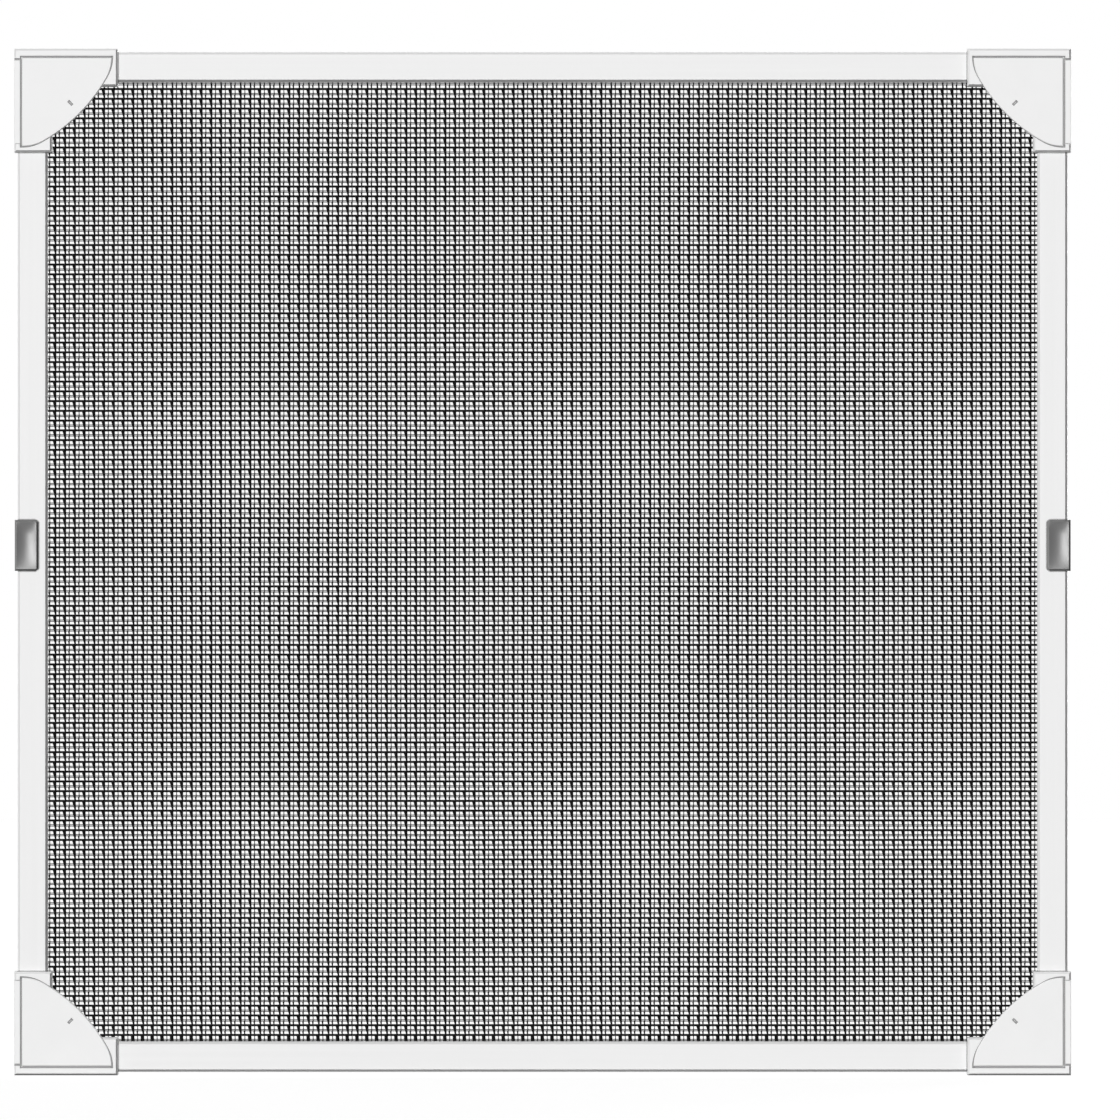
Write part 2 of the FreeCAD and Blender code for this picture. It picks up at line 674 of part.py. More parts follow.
# Assembly: the top and left pieces, then their mirror images
top_rail = level_rail("top_rail")
mirrored("bottom_rail", top_rail, UPRIGHT)
left_rail = upright_rail("left_rail")
mirrored("right_rail", left_rail, ACROSS)

for kind, make in (("elbow", elbow), ("cover", cover)):
    top_left = make(f"top_left_{kind}")
    top_right = mirrored(f"top_right_{kind}", top_left, ACROSS)
    mirrored(f"bottom_left_{kind}", top_left, UPRIGHT)
    mirrored(f"bottom_right_{kind}", top_right, UPRIGHT)

insect_mesh("insect_mesh")

along_x = FreeCAD.Rotation(FreeCAD.Vector(0, 1, 0), 90)
cord_start = "rail_start + spline_end_gap"
level_run = f"frame_width - 2 * ({cord_start})"
top_spline = cord("top_spline", along_x, level_run, f"{cord_start} - half_width", "half_height - spline_inset")
mirrored("bottom_spline", top_spline, UPRIGHT)
side_run = f"frame_height - 2 * ({cord_start})"
upright = FreeCAD.Rotation()
left_spline = cord("left_spline", upright, side_run, "spline_inset - half_width", f"{cord_start} - half_height")
mirrored("right_spline", left_spline, ACROSS)

magnet_end = "elbow_leg + magnet_end_gap"
top_magnet = magnet(
    "top_magnet",
    f"{magnet_end} - half_width",
    "rail_z - magnet_inset - magnet_width",
    f"frame_width - 2 * ({magnet_end})",
    "magnet_width",
)
mirrored("bottom_magnet", top_magnet, UPRIGHT)
side_place = "rail_x + magnet_inset"
above = "pull_top_z + magnet_end_gap"
below = "pull_bottom_z - magnet_end_gap"
low_end = f"{magnet_end} - half_height"
side_magnets = {
    "upper": (above, f"half_height - ({magnet_end}) - ({above})"),
    "lower": (low_end, f"{below} - ({low_end})"),
}
for place, (bottom, run) in side_magnets.items():
    left_magnet = magnet(f"left_{place}_magnet", side_place, bottom, "magnet_width", run)
    mirrored(f"right_{place}_magnet", left_magnet, ACROSS)

left_pull = finger_pull("left_finger_pull")
mirrored("right_finger_pull", left_pull, ACROSS)

# Check everything, then write one file for each sub-part
doc.recompute()
for item in doc.Objects:
    if "Invalid" in item.State or "Error" in item.State:
        raise RuntimeError(f"{item.Label} did not build: {item.State}")
for part in PARTS:
    if part.Shape.isNull() or not part.Shape.isValid():
        raise RuntimeError(f"{part.Label} has no valid shape")

os.makedirs("parts", exist_ok=True)
for part in PARTS:
    part.Shape.exportStep(f"parts/{part.Label}.step")
    print(part.Label, len(part.Shape.Solids), round(part.Shape.Volume, 1))
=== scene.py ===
# %% [markdown]
# # Window screen frame
# A lift-out insect screen: four white rails, moulded corner elbows with fan shaped covers, a black woven
# mesh and a dished metal finger pull on each side. The solids of the frame are already in place, in
# metres, with the front towards -Y and +Z up. This script gives every solid a procedural material, shapes
# the dishes of the pulls, weaves the mesh strand by strand, and sets up the light and the camera of a
# flat front view.

# %% Load the frame
import math

import bpy
import numpy as np
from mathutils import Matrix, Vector


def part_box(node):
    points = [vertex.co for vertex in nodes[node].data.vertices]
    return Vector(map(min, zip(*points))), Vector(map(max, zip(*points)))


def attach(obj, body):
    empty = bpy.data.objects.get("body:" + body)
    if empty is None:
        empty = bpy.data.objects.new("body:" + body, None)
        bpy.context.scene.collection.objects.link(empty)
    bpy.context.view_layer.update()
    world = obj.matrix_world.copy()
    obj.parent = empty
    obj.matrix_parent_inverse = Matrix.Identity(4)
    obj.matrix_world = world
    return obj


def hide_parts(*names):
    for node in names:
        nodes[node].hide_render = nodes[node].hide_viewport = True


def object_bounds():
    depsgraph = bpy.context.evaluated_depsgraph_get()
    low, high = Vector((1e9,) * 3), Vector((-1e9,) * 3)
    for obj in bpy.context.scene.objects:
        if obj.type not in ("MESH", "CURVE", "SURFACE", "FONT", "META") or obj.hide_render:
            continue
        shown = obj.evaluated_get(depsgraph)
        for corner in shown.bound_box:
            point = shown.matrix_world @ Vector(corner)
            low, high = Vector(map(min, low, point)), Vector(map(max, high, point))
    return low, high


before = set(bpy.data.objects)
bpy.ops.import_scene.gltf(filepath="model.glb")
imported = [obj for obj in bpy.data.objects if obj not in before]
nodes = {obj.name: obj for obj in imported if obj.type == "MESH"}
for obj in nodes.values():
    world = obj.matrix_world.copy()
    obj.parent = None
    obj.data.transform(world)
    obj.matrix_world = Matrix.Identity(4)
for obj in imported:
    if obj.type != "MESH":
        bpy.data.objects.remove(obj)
cad_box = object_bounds()
print("nodes:", len(nodes), "box:", [round(v, 4) for corner in cad_box for v in corner])

# %% [markdown]
# ## Node helpers
# Every material below is a small tree of shader nodes. They could be made and linked one line at a time,
# but a few helpers keep each material as short as its list of ingredients. `add` makes a node and fills
# its sockets, with plain values or with the outputs of other nodes.

# %% Helpers for node trees
def add(tree, kind, inputs=None, **settings):
    """A new node. inputs maps its sockets to plain values or to the output sockets that feed them."""
    node = tree.nodes.new(kind)
    for name, value in settings.items():
        setattr(node, name, value)
    by_identifier = {s.identifier: s for s in node.inputs}
    for name, value in (inputs or {}).items():
        place = by_identifier.get(name) or node.inputs[name]
        if isinstance(value, bpy.types.NodeSocket):
            tree.links.new(value, place)
        else:
            place.default_value = value
    return node


def new_group(name, inputs, outputs):
    """A node group with the given (name, kind) sockets, what it is given and what it puts out."""
    group = bpy.data.node_groups.new(name, "ShaderNodeTree")
    for direction, sockets in (("INPUT", inputs), ("OUTPUT", outputs)):
        for label, kind in sockets:
            group.interface.new_socket(label, in_out=direction, socket_type=kind)
    return group, group.nodes.new("NodeGroupInput").outputs, group.nodes.new("NodeGroupOutput").inputs


def blend_colour(tree, factor, low, high):
    """A colour between two others, by a factor from 0 to 1."""
    inputs = {"Factor_Float": factor, "A_Color": low, "B_Color": high}
    return add(tree, "ShaderNodeMix", inputs, data_type="RGBA").outputs[2]


def between(tree, factor, low, high):
    """A number between two others, by a factor from 0 to 1."""
    inputs = {"Value": factor, "To Min": low, "To Max": high}
    return add(tree, "ShaderNodeMapRange", inputs).outputs["Result"]


def maths(tree, operation, *terms):
    """The result of a Math node with one or two terms."""
    inputs = dict(zip(["Value", "Value_001"], terms))
    return add(tree, "ShaderNodeMath", inputs, operation=operation).outputs["Value"]


# %% Helpers for materials and objects
def grey(value):
    return (value, value, value, 1.0)


def new_material(name):
    """An empty material, its node tree and its Principled shader."""
    material = bpy.data.materials.new(name)
    material.use_nodes = True
    return material, material.node_tree, material.node_tree.nodes["Principled BSDF"]


def surface(tree, shader, colour, roughness, normal):
    """Feeds a shader with what changes over the surface."""
    for name, source in (("Base Color", colour), ("Roughness", roughness), ("Normal", normal)):
        tree.links.new(source, shader.inputs[name])


def new_object(name, data):
    """Puts a mesh, a lamp or a camera into the scene."""
    thing = bpy.data.objects.new(name, data)
    bpy.context.scene.collection.objects.link(thing)
    return thing


# %% [markdown]
# ## Grain
# Plastic, rubber and metal all have a grain, from fine pores to the long faint lines of an extrusion. It
# is one noise whose features can be drawn out along one direction. Most materials use it, so it is a node
# group that is built once and placed in each of them with its own values.

# %% Grain
grain, given, made = new_group(
    "grain",
    [("Features per metre", "NodeSocketVector"), ("Detail", "NodeSocketFloat")],
    [("Grain", "NodeSocketFloat")],
)
place = add(grain, "ShaderNodeTexCoord").outputs["Object"]
drawn = add(
    grain,
    "ShaderNodeVectorMath",
    {"Vector": place, "Vector_001": given["Features per metre"]},
    operation="MULTIPLY",
)
noise = add(
    grain,
    "ShaderNodeTexNoise",
    {"Vector": drawn.outputs["Vector"], "Detail": given["Detail"], "Scale": 1.0, "Roughness": 0.55},
)
grain.links.new(noise.outputs["Fac"], made["Grain"])


def grain_of(tree, features, detail):
    """Grain with the given number of features per metre along the three axes."""
    inputs = {"Features per metre": features, "Detail": detail}
    return add(tree, "ShaderNodeGroup", inputs, node_tree=grain).outputs["Grain"]


print("group:", grain.name, "nodes:", len(grain.nodes))

# %% [markdown]
# ## Relief
# This group turns a height into a normal, on top of edges that are softened by a fraction of a
# millimetre. It can also make small rounds look crisp. A round of half a millimetre is thinner than a
# pixel in the picture, and its shade would get lost. So where a surface leans away from the front or the
# back by more than a few degrees, its normal leans at once by a given angle, as that of a flat bevel
# does. Real bevels could do the same, but the solids keep their shape.

# %% Relief
RELIEF_INPUTS = ["Height", "Depth", "Edge radius", "Lean from", "Lean to", "Lean"]
LEAN_FROM, LEAN_TO = 4, 11
LEAST_SINE = 0.001

relief, given, made = new_group(
    "relief", [(label, "NodeSocketFloat") for label in RELIEF_INPUTS], [("Normal", "NodeSocketVector")]
)
soft = add(relief, "ShaderNodeBevel", {"Radius": given["Edge radius"]}, samples=6)
facing = add(relief, "ShaderNodeSeparateXYZ", {"Vector": soft.outputs["Normal"]}).outputs
tilt = maths(relief, "ARCCOSINE", maths(relief, "ABSOLUTE", facing["Y"]))
crisp = add(
    relief,
    "ShaderNodeMapRange",
    {
        "Value": tilt,
        "From Min": given["Lean from"],
        "From Max": given["Lean to"],
        "To Min": 0.0,
        "To Max": given["Lean"],
    },
)
lean = maths(relief, "MAXIMUM", tilt, crisp.outputs["Result"])
sideways = maths(relief, "MAXIMUM", maths(relief, "SINE", tilt), LEAST_SINE)
widen = maths(relief, "DIVIDE", maths(relief, "SINE", lean), sideways)
leaning = add(
    relief,
    "ShaderNodeCombineXYZ",
    {
        "X": maths(relief, "MULTIPLY", facing["X"], widen),
        "Y": maths(relief, "MULTIPLY", maths(relief, "SIGN", facing["Y"]), maths(relief, "COSINE", lean)),
        "Z": maths(relief, "MULTIPLY", facing["Z"], widen),
    },
)
bump = add(
    relief,
    "ShaderNodeBump",
    {
        "Height": given["Height"],
        "Distance": given["Depth"],
        "Normal": leaning.outputs["Vector"],
        "Strength": 1.0,
    },
)
relief.links.new(bump.outputs["Normal"], made["Normal"])


def relief_of(tree, height, depth, edge_radius, lean=0):
    """The normal of a height on softened edges. Rounds lean by at least the given angle, in degrees."""
    angles = [math.radians(angle) for angle in (LEAN_FROM, LEAN_TO, lean)]
    inputs = dict(zip(RELIEF_INPUTS, [height, depth, edge_radius, *angles]))
    return add(tree, "ShaderNodeGroup", inputs, node_tree=relief).outputs["Normal"]


print("group:", relief.name, "nodes:", len(relief.nodes))

# %% [markdown]
# ## Crevices
# Shade in narrow gaps, such as the reveal round a cover, is painted into the colour as a dark grey.
# Ambient occlusion with a short reach finds the gaps. The elbows and rails also see the pieces beside them.
# The covers see themselves alone, because a cover's curved edge is drawn by a fine pale line, and only its
# small dimple gets the painted shade.

# %% Crevices
def crevice_group(name, alone, open_sky, closed_sky):
    """Marks the narrow gaps of a piece alone, or also those between it and its neighbours, where shade is
    painted.
    """
    group, given, made = new_group(name, [("Reach", "NodeSocketFloat")], [("Crevice", "NodeSocketFloat")])
    sky = add(group, "ShaderNodeAmbientOcclusion", {"Distance": given["Reach"]}, samples=8, only_local=alone)
    inputs = {"Value": sky.outputs["AO"], "From Min": open_sky, "From Max": closed_sky}
    group.links.new(add(group, "ShaderNodeMapRange", inputs).outputs["Result"], made["Crevice"])
    return group


crevice = crevice_group("crevice", False, 0.9, 0.72)
own_crevice = crevice_group("own_crevice", True, 0.96, 0.8)
print("groups:", crevice.name, own_crevice.name)

# %% [markdown]
# ## White plastics
# The rails are extruded, so their grain runs along them in long faint lines. The elbows and covers are
# moulded, with a fine even texture and a slow drift of gloss from the way the plastic flowed. One
# function makes them all, because only the direction and size of the grain and the crispness of the edges
# differ.

# %% White plastics
# The last grey is painted shade, put into narrow gaps.
PLASTIC_DARK, PLASTIC_PALE, PAINTED_CREVICE_SHADE = grey(0.835), grey(0.875), grey(0.24)
CREVICE_REACH = 0.0012
PLASTIC_EDGE = 0.00025
CRISP, SOFTER = 62, 40


def white_plastic(name, lines, pores, depth, roughness, lean=CRISP, gaps=crevice):
    """Satin white plastic. lines and pores are features per metre, gaps is the group that marks crevices,
    where shade is painted into the colour.
    """
    material, tree, shader = new_material(name)
    streak = grain_of(tree, lines, 3.0)
    # Painted shade: narrow gaps found by ambient occlusion turn grey.
    dust_and_painted_shade = add(tree, "ShaderNodeGroup", {"Reach": CREVICE_REACH}, node_tree=gaps).outputs["Crevice"]
    colour = blend_colour(tree, dust_and_painted_shade, blend_colour(tree, streak, PLASTIC_DARK, PLASTIC_PALE), PAINTED_CREVICE_SHADE)
    normal = relief_of(tree, grain_of(tree, pores, 2.0), depth, PLASTIC_EDGE, lean)
    surface(tree, shader, colour, between(tree, streak, *roughness), normal)
    return material


level_rail = white_plastic("rail_plastic_level", (3, 350, 350), (40, 1500, 1500), 0.00001, (0.36, 0.5))
upright_rail = white_plastic("rail_plastic_upright", (350, 350, 3), (1500, 1500, 40), 0.00001, (0.36, 0.5))
moulded = ((45, 45, 45), (2600, 2600, 2600), 0.000018, (0.42, 0.56))
elbow_plastic = white_plastic("corner_plastic", *moulded)
cover_plastic = white_plastic("cover_plastic", *moulded, SOFTER, own_crevice)
print("white plastics:", level_rail.name, upright_rail.name, elbow_plastic.name, cover_plastic.name)

# %% [markdown]
# ## Cord and magnet strip
# The retaining cord is soft and ribbed across, so that it grips its groove. Its ribs are an even wave
# along it, which is lighter than ribs in the mesh and shows as much at this size. The magnet strip is a
# dull extruded rubber with fine lines along it.

# %% Cord and magnet strip
# A wave texture of scale 1 turns through 20 radians in a metre
WAVE_TURN = 20
RUBBER_EDGE = 0.0004
CORD_RIBS, CORD_RIB_HEIGHT = 700, 0.00015
MAGNET_LINE_HEIGHT = 0.00004
MAGNET_DARK, MAGNET_PALE = (0.034, 0.026, 0.022, 1.0), (0.062, 0.05, 0.043, 1.0)


def ribs(tree, direction, ribs_per_metre):
    """The height of even ribs across a strand that runs in the given direction."""
    inputs = {
        "Vector": add(tree, "ShaderNodeTexCoord").outputs["Object"],
        "Scale": ribs_per_metre * 2 * math.pi / WAVE_TURN,
        "Distortion": 0.6,
        "Detail": 1.0,
    }
    return add(tree, "ShaderNodeTexWave", inputs, bands_direction=direction).outputs["Fac"]


def cord_rubber(name, direction):
    material, tree, shader = new_material(name)
    dust_and_painted_shade = grain_of(tree, (400, 400, 400), 4.0)
    colour = blend_colour(tree, dust_and_painted_shade, grey(0.035), grey(0.065))
    normal = relief_of(tree, ribs(tree, direction, CORD_RIBS), CORD_RIB_HEIGHT, RUBBER_EDGE)
    surface(tree, shader, colour, between(tree, dust_and_painted_shade, 0.5, 0.75), normal)
    return material


def magnet_rubber(name, lines):
    material, tree, shader = new_material(name)
    streak = grain_of(tree, lines, 4.0)
    speck = grain_of(tree, (1800, 1800, 1800), 2.0)
    colour = blend_colour(tree, streak, MAGNET_DARK, MAGNET_PALE)
    normal = relief_of(tree, streak, MAGNET_LINE_HEIGHT, RUBBER_EDGE)
    surface(tree, shader, colour, between(tree, speck, 0.5, 0.72), normal)
    return material


level_cord, upright_cord = cord_rubber("cord_level", "X"), cord_rubber("cord_upright", "Z")
level_magnet = magnet_rubber("magnet_level", (8, 900, 900))
upright_magnet = magnet_rubber("magnet_upright", (900, 900, 8))
print("rubbers:", level_cord.name, upright_cord.name, level_magnet.name, upright_magnet.name)

# %% [markdown]
# ## Pull metal
# The pulls are grey metal, brushed along their length under a clear satin finish. A fully metallic shader
# would only mirror the white room and hide the dish. So the metal is a dark ground, and the finish on it
# gives the gloss. The bevel, the wall and the hook are plainer and paler, and the bevel looks steep.

# %% Pull metal
METAL_EDGE = 0.0003
BRUSH_HEIGHT = 0.000006


def satin_metal(name, dark, pale, specular, lean=0):
    material, tree, shader = new_material(name)
    brushed = grain_of(tree, (5000, 5000, 60), 3.0)
    cloud = grain_of(tree, (120, 120, 120), 3.0)
    colour = blend_colour(tree, brushed, grey(dark), grey(pale))
    normal = relief_of(tree, brushed, BRUSH_HEIGHT, METAL_EDGE, lean)
    surface(tree, shader, colour, between(tree, cloud, 0.34, 0.4), normal)
    shader.inputs["Specular IOR Level"].default_value = specular
    return material


pull_metal = satin_metal("pull_metal", 0.035, 0.055, 1.0)
pull_rim = satin_metal("pull_rim", 0.13, 0.17, 0.1, 75)
print("metals:", pull_metal.name, pull_rim.name)

# %% [markdown]
# ## Yarns of the mesh
# The mesh is woven from coated black yarn. Its strands are ribbed by their twist, a little dusty, and
# shine faintly. Three yarns differ in the direction and fineness of their twist.

# %% Yarns of the mesh
YARN_RIB_HEIGHT, YARN_SHINE = 0.0001, 0.08


def yarn(name, direction, twists_per_metre):
    material, tree, shader = new_material(name)
    dust_and_painted_shade = grain_of(tree, (300, 300, 300), 4.0)
    colour = blend_colour(tree, dust_and_painted_shade, grey(0.002), grey(0.006))
    normal = relief_of(tree, ribs(tree, direction, twists_per_metre), YARN_RIB_HEIGHT, 0.0)
    surface(tree, shader, colour, between(tree, dust_and_painted_shade, 0.6, 0.8), normal)
    shader.inputs["Specular IOR Level"].default_value = YARN_SHINE
    return material


yarns = [yarn("yarn_upright", "Z", 900), yarn("yarn_level", "X", 900), yarn("yarn_fine", "DIAGONAL", 1500)]
print("yarns:", [y.name for y in yarns])

# %% [markdown]
# ## Dress the solids
# Each solid keeps its shape and its place. The last word of its name says what it is, and the first word
# whether it is level or upright: level pieces get the grain along X, upright ones along Z.

# %% Dress the solids
level_and_upright = {
    "rail": (level_rail, upright_rail),
    "spline": (level_cord, upright_cord),
    "magnet": (level_magnet, upright_magnet),
    "elbow": (elbow_plastic, elbow_plastic),
    "cover": (cover_plastic, cover_plastic),
    "pull": (pull_metal, pull_metal),
    "mesh": (yarns[0], yarns[0]),
}
for name, solid in nodes.items():
    upright = not name.startswith(("top", "bottom"))
    solid.material_slots[0].material = level_and_upright[name.split("_")[-1]][upright]
print("dressed:", len(nodes), "solids")

# %% [markdown]
# ## Finger pulls
# A pull is a metal clip over the outer edge of a side rail, with one smooth dish for the thumb in its
# face. The dish is deepest above its middle and rises ever more steeply to all four sides, where a narrow
# bevel runs round it. It could be sculpted or cut out with a second body, but a grid of points with a
# formula for the depth stays smooth and even. The rows of the grid narrow at the two rounded corners.

# %% The dished face of a pull
PULL_BEVEL, PULL_CORNER, PULL_PLATE = 0.0012, 0.002, 0.0026
DISH_DEPTH, DISH_POWER, DISH_DEEPEST = 0.0014, 2.0, 0.45
DISH_COLUMNS, DISH_ROWS = 36, 72


def hollow(place, deepest):
    """How deep the dish is along one direction, from 0 at both ends, -1 and 1, to 1 at the deepest place."""
    reach = np.where(place > deepest, 1 - deepest, 1 + deepest)
    return 1 - (np.abs(place - deepest) / reach) ** DISH_POWER


def pull_face(width, height):
    """Points of the face, (row, column, xyz): x from the outer edge, y from the front, z from below."""
    across = np.concatenate([[0], np.linspace(PULL_BEVEL, width - PULL_BEVEL, DISH_COLUMNS), [width]])
    up = np.concatenate([[0], np.linspace(PULL_BEVEL, height - PULL_BEVEL, DISH_ROWS), [height]])
    to_corner = np.clip(PULL_CORNER - np.minimum(up, height - up), 0, PULL_CORNER)
    inset = PULL_CORNER - np.sqrt(PULL_CORNER**2 - to_corner**2)
    x = across[None, :] * (1 - inset / width)[:, None]
    z = np.repeat(up[:, None], len(across), axis=1)
    u = np.clip((2 * across - width) / (width - 2 * PULL_BEVEL), -1, 1)
    v = np.clip((2 * up - height) / (height - 2 * PULL_BEVEL), -1, 1)
    y = DISH_DEPTH * hollow(u, 0.0)[None, :] * hollow(v, DISH_DEEPEST)[:, None]
    y[[0, -1], :] = PULL_BEVEL
    y[:, [0, -1]] = PULL_BEVEL
    return np.stack([x, y, z], axis=-1)


print("dish:", DISH_COLUMNS, "by", DISH_ROWS, "points,", DISH_DEPTH * 1000, "mm deep")

# %% [markdown]
# Behind the face are the sides of its plate, the wall over the rail's outer edge and the hook that grips
# the rail's back. Their section is drawn once and stands for the whole height. The right pull is the
# mirror image of the left one.

# %% Two finger pulls
PULL_WALL, PULL_HOOK, PULL_HOOK_REACH = 0.0018, 0.0015, 0.0118
SHARP_FROM = math.radians(28)


def pull_shape(width, height, depth):
    """Points and faces of a left pull, and for each face 1 if it lies in the dish."""
    face = pull_face(width, height)
    rows, columns = face.shape[:2]
    number = np.arange(rows * columns).reshape(rows, columns)
    quads = np.stack([number[:-1, :-1], number[:-1, 1:], number[1:, 1:], number[1:, :-1]], axis=-1)
    ring = np.concatenate([number[0, :-1], number[:-1, -1], number[-1, :0:-1], number[:0:-1, 0]])
    behind = face.reshape(-1, 3)[ring] * [1, 0, 1] + [0, PULL_PLATE, 0]
    back = np.arange(len(ring)) + rows * columns
    sides = np.stack([np.roll(ring, -1), ring, back, np.roll(back, -1)], axis=-1)
    section = [
        (0, PULL_PLATE),
        (PULL_WALL, PULL_PLATE),
        (PULL_WALL, depth - PULL_HOOK),
        (PULL_HOOK_REACH, depth - PULL_HOOK),
        (PULL_HOOK_REACH, depth),
        (0, depth),
    ]
    clip = np.array([(x, y, z) for z in (0, height) for x, y in section])
    below = np.arange(len(section)) + back[-1] + 1
    above = below + len(section)
    walls = np.stack([below, np.roll(below, -1), np.roll(above, -1), above], axis=-1)
    faces = quads.reshape(-1, 4).tolist() + sides.tolist() + [back[::-1].tolist()]
    faces += walls.tolist() + [below[::-1].tolist(), above.tolist()]
    dish = np.zeros((rows - 1, columns - 1), int)
    dish[1:-1, 1:-1] = 1
    in_dish = dish.ravel().tolist() + [0] * (len(faces) - dish.size)
    return np.concatenate([face.reshape(-1, 3), behind, clip]), faces, in_dish


def finger_pull(name, node, mirrored):
    low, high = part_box(node)
    points, faces, in_dish = pull_shape(high[0] - low[0], high[2] - low[2], high[1] - low[1])
    points += [0, low[1], low[2]]
    points[:, 0] = high[0] - points[:, 0] if mirrored else low[0] + points[:, 0]
    if mirrored:
        faces = [corners[::-1] for corners in faces]
    data = bpy.data.meshes.new(name)
    data.from_pydata(points.tolist(), [], faces)
    data.polygons.foreach_set("use_smooth", [True] * len(faces))
    data.set_sharp_from_angle(angle=SHARP_FROM)
    data.polygons.foreach_set("material_index", in_dish)
    data.materials.append(pull_rim)
    data.materials.append(pull_metal)
    pull = new_object(name, data)
    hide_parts(node)
    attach(pull, "root")
    return pull


pulls = [
    finger_pull("left_dished_pull", "left_finger_pull", False),
    finger_pull("right_dished_pull", "right_finger_pull", True),
]
print("pulls:", [(p.name, len(p.data.polygons)) for p in pulls])

# %% [markdown]
# ## Weave the mesh
# Upright strands lean: under each level strand one starts a little to the left and thick, and drifts to
# the right and thins on its way down to the next. It passes in front of one level strand and behind the
# next. The level strands are straight. A pair of fine threads crosses every cell from side to side, and
# one crosses it from top to bottom, which is thickest just under that pair. All of them bend over the
# rail's lip and go down into its groove, where the cord holds them. A picture of a weave on a plane would
# look flat from the side, and curves with a round section would have far more faces, so each strand is a
# tube with few corners.

# %% Sizes of the mesh
PITCH = 0.00647
COLUMNS, ROWS = 50, 49
MIDDLE_Y, LIP_Y, TUCK_Y = 0.00435, 0.00403, 0.0007
CROSSING, LEAN, WEAVE = 0.00075, 0.00036, 0.000325
UPRIGHT_WIDE, UPRIGHT_NARROW, UPRIGHT_DEPTH = 0.0024, 0.0011, 0.00035
LEVEL_WIDTH, LEVEL_DEPTH = 0.0015, 0.0003
FINE_WIDTH, FINE_DEPTH, FINE_PAIR, FINE_LOWER = 0.00058, 0.00028, 0.00045, 0.0001
FINE_FRONT, FINE_BACK = -0.00034, 0.0004
# Three rings of a fine upright thread in each cell: their heights above the pair, leans and widths
FINE_RINGS = (-0.0011, 0.0002, PITCH / 2)
FINE_LEANS = (-0.0005, -0.0002, -0.0003)
FINE_WIDTHS = (0.0013, 0.0008, 0.0006)
HEM, SHOULDER = 0.0002, 0.0025
UPRIGHT_CORNERS, LEVEL_CORNERS, FINE_CORNERS = 4, 6, 3

mesh_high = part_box("insect_mesh")[1]
fold_x, fold_z = mesh_high[0] - HEM, mesh_high[2] - HEM
print("mesh folds at x", round(fold_x, 5), "and z", round(fold_z, 5))

# %% Strands as tubes
X, Y, Z = np.eye(3)
DIAGONAL = math.sqrt(0.5)


def strands(centres, side, depth_axes, widths, depth, corners):
    """Tubes with the given ring centres, (strand, ring, xyz): their points, faces and end caps."""
    angle = (np.arange(corners) + corners % 2 * corners / 4) * 2 * math.pi / corners
    across = np.cos(angle)[None, :, None] * side * (np.asarray(widths) / 2)[:, None, None]
    through = np.sin(angle)[None, :, None] * np.asarray(depth_axes)[:, None, :] * depth / 2
    points = centres[:, :, None, :] + (across + through)[None]
    number = np.arange(points.size // 3).reshape(points.shape[:3])
    following = np.roll(number, -1, axis=2)
    sides = np.stack([number[:, :-1], following[:, :-1], following[:, 1:], number[:, 1:]], axis=-1)
    caps = np.concatenate([number[:, 0, ::-1], number[:, -1, :]])
    return points.reshape(-1, 3), sides.reshape(-1, 4), caps


def folded(places, fold, depths):
    """Adds the fold into the groove at both ends of a strand: its places along the run and in depth."""
    along = np.concatenate([[-fold, -fold], places, [fold, fold]])
    deep = np.concatenate([[TUCK_Y, LIP_Y], depths, [LIP_Y, TUCK_Y]])
    return along, deep


def upright_strands(places, ring_z, depths, leans, widths, depth, corners):
    """Strands along Z. depths is (strand, ring), leans and widths are one for each ring."""
    centres = np.zeros((len(places), len(ring_z) + 4, 3))
    for strand, x in enumerate(places):
        along, deep = folded(ring_z, fold_z, depths[strand])
        centres[strand] = np.stack([x + np.pad(leans, 2), deep, along], axis=-1)
    axes = [-Z, DIAGONAL * (Y - Z)] + [Y] * len(ring_z) + [DIAGONAL * (Y + Z), Z]
    return strands(centres, X, axes, np.pad(widths, 2, mode="edge"), depth, corners)


def level_strands(places, deep, width, depth):
    """Straight strands along X at the given heights."""
    shoulder = fold_x - SHOULDER
    axes = [X, DIAGONAL * (X - Y), -Y, -Y, DIAGONAL * (-X - Y), -X]
    centres = np.zeros((len(places), len(axes), 3))
    centres[:, :, 0], centres[:, :, 1] = folded([-shoulder, shoulder], fold_x, [deep, deep])
    centres[:, :, 2] = np.asarray(places)[:, None]
    return strands(centres, Z, axes, np.full(len(axes), width), depth, LEVEL_CORNERS)


# %% Lay out the strands
upright_x = np.arange(-COLUMNS, COLUMNS + 1) * PITCH
level_z = (np.arange(-ROWS, ROWS) + 0.5) * PITCH
crossings = np.repeat(level_z, 2) + np.tile([-CROSSING, CROSSING], len(level_z))
leans = np.tile([-LEAN, LEAN], len(level_z))
widths = np.tile([UPRIGHT_WIDE, UPRIGHT_NARROW], len(level_z))
parity = (np.arange(len(upright_x))[:, None] + np.arange(len(level_z))[None, :]) % 2
depths = MIDDLE_Y + WEAVE * np.repeat(2 * parity - 1, 2, axis=1)
cell_x = (np.arange(-COLUMNS - 1, COLUMNS + 1) + 0.5) * PITCH
cell_z = np.arange(-ROWS, ROWS + 1) * PITCH - FINE_LOWER
fine_z = np.concatenate([cell_z - FINE_PAIR, cell_z + FINE_PAIR])
fine_rings = np.repeat(cell_z, len(FINE_RINGS)) + np.tile(FINE_RINGS, len(cell_z))
fine_rings = np.minimum(fine_rings, fold_z - HEM)
fine_leans, fine_widths = np.tile(FINE_LEANS, len(cell_z)), np.tile(FINE_WIDTHS, len(cell_z))
fine_depths = np.full((len(cell_x), len(fine_rings)), MIDDLE_Y + FINE_FRONT)
print("strands:", len(upright_x), len(level_z), "fine threads:", len(cell_x), len(fine_z))


